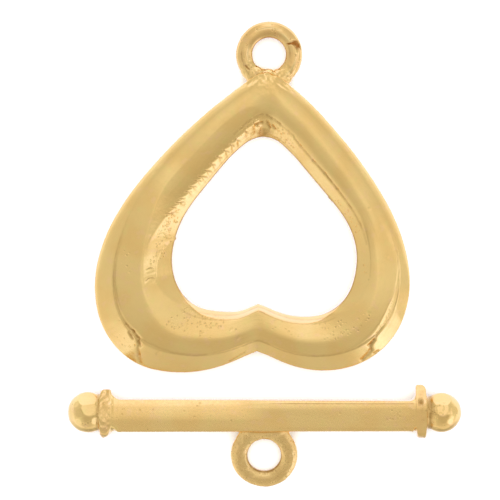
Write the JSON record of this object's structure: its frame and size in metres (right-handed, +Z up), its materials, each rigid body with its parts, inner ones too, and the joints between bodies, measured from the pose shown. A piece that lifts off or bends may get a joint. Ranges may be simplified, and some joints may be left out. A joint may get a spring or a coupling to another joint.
{
  "type": "heart toggle clasp",
  "caption": "Two-piece jewellery clasp: a heart-shaped ring with a loop on its point and a ball-ended bar with a side loop.",
  "frame": {"origin": "middle of the footprint of both pieces as they lie, at the height of the surface that they lie on", "axes": "+Z up from that surface, through the domed front of the heart; +Y towards the heart's point and its loop; +X to the right, along the bar"},
  "size_m": [0.0202, 0.024, 0.0024],
  "materials": {
    "gold_plate": "polished"
  },
  "bodies": {
    "root": {"heart_ring": "gold_plate", "toggle_bar": "gold_plate"}
  },
  "joints": []
}
